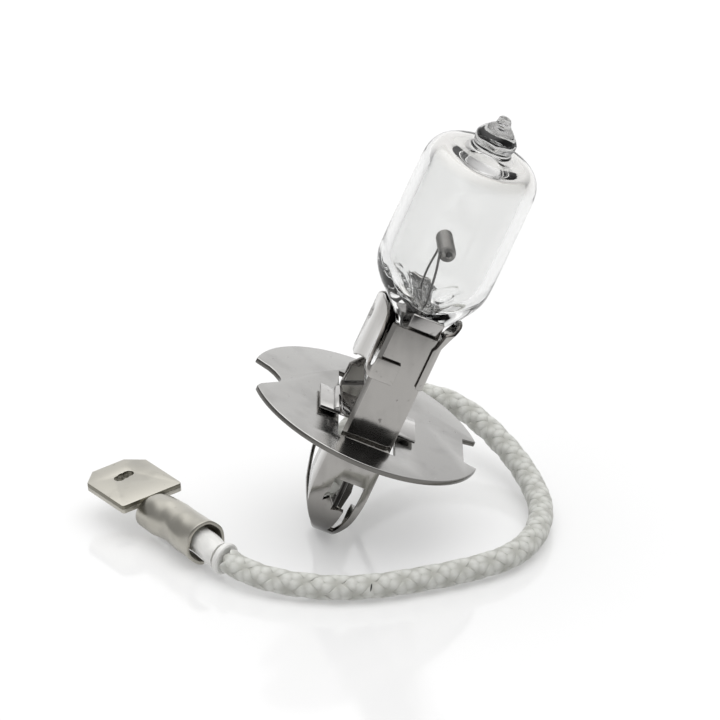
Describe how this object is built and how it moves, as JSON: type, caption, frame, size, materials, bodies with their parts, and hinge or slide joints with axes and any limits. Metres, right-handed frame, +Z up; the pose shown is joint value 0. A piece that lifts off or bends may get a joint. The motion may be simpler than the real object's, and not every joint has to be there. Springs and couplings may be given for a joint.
{
  "type": "headlight bulb",
  "caption": "Halogen headlight bulb: glass capsule clamped in a U-loop holder on a notched round flange, with a sleeved lead to a blade terminal.",
  "frame": {"origin": "on the bulb's axis at the glass-side face of the flange", "axes": "+Z up from the surface the bulb lies on, -Y towards the holder's front plate, bulb axis leaned 23.2 degrees from +Z towards +X"},
  "size_m": [0.042, 0.035, 0.04],
  "materials": {
    "nickel_plated_steel": "polished nickel",
    "bright_strip": "bright rolled",
    "quartz_glass": "clear",
    "tungsten": "dark drawn wire",
    "molybdenum": "drawn wire",
    "tinned_brass": "tinned",
    "woven_fibreglass": "braided sleeve",
    "white_insulation": "matte"
  },
  "bodies": {
    "root": {"glass_envelope": "quartz_glass", "filament_coil": "tungsten", "inner_lead_front": "molybdenum", "inner_lead_rear": "molybdenum", "seal_foil_front": "molybdenum", "seal_foil_rear": "molybdenum", "outer_lead_live": "molybdenum", "outer_lead_ground": "molybdenum", "lead_insulator": "white_insulation", "holder_strap": "nickel_plated_steel", "clamp_shell": "nickel_plated_steel", "pinch_spring_front": "bright_strip", "pinch_spring_rear": "bright_strip", "cross_bracket": "bright_strip", "flange_disc": "nickel_plated_steel", "splice_ferrule": "tinned_brass", "wire_end_lamp": "white_insulation", "braided_sleeve": "woven_fibreglass", "sleeve_collar": "woven_fibreglass", "wire_end_terminal": "white_insulation", "spade_terminal": "tinned_brass"}
  },
  "joints": []
}
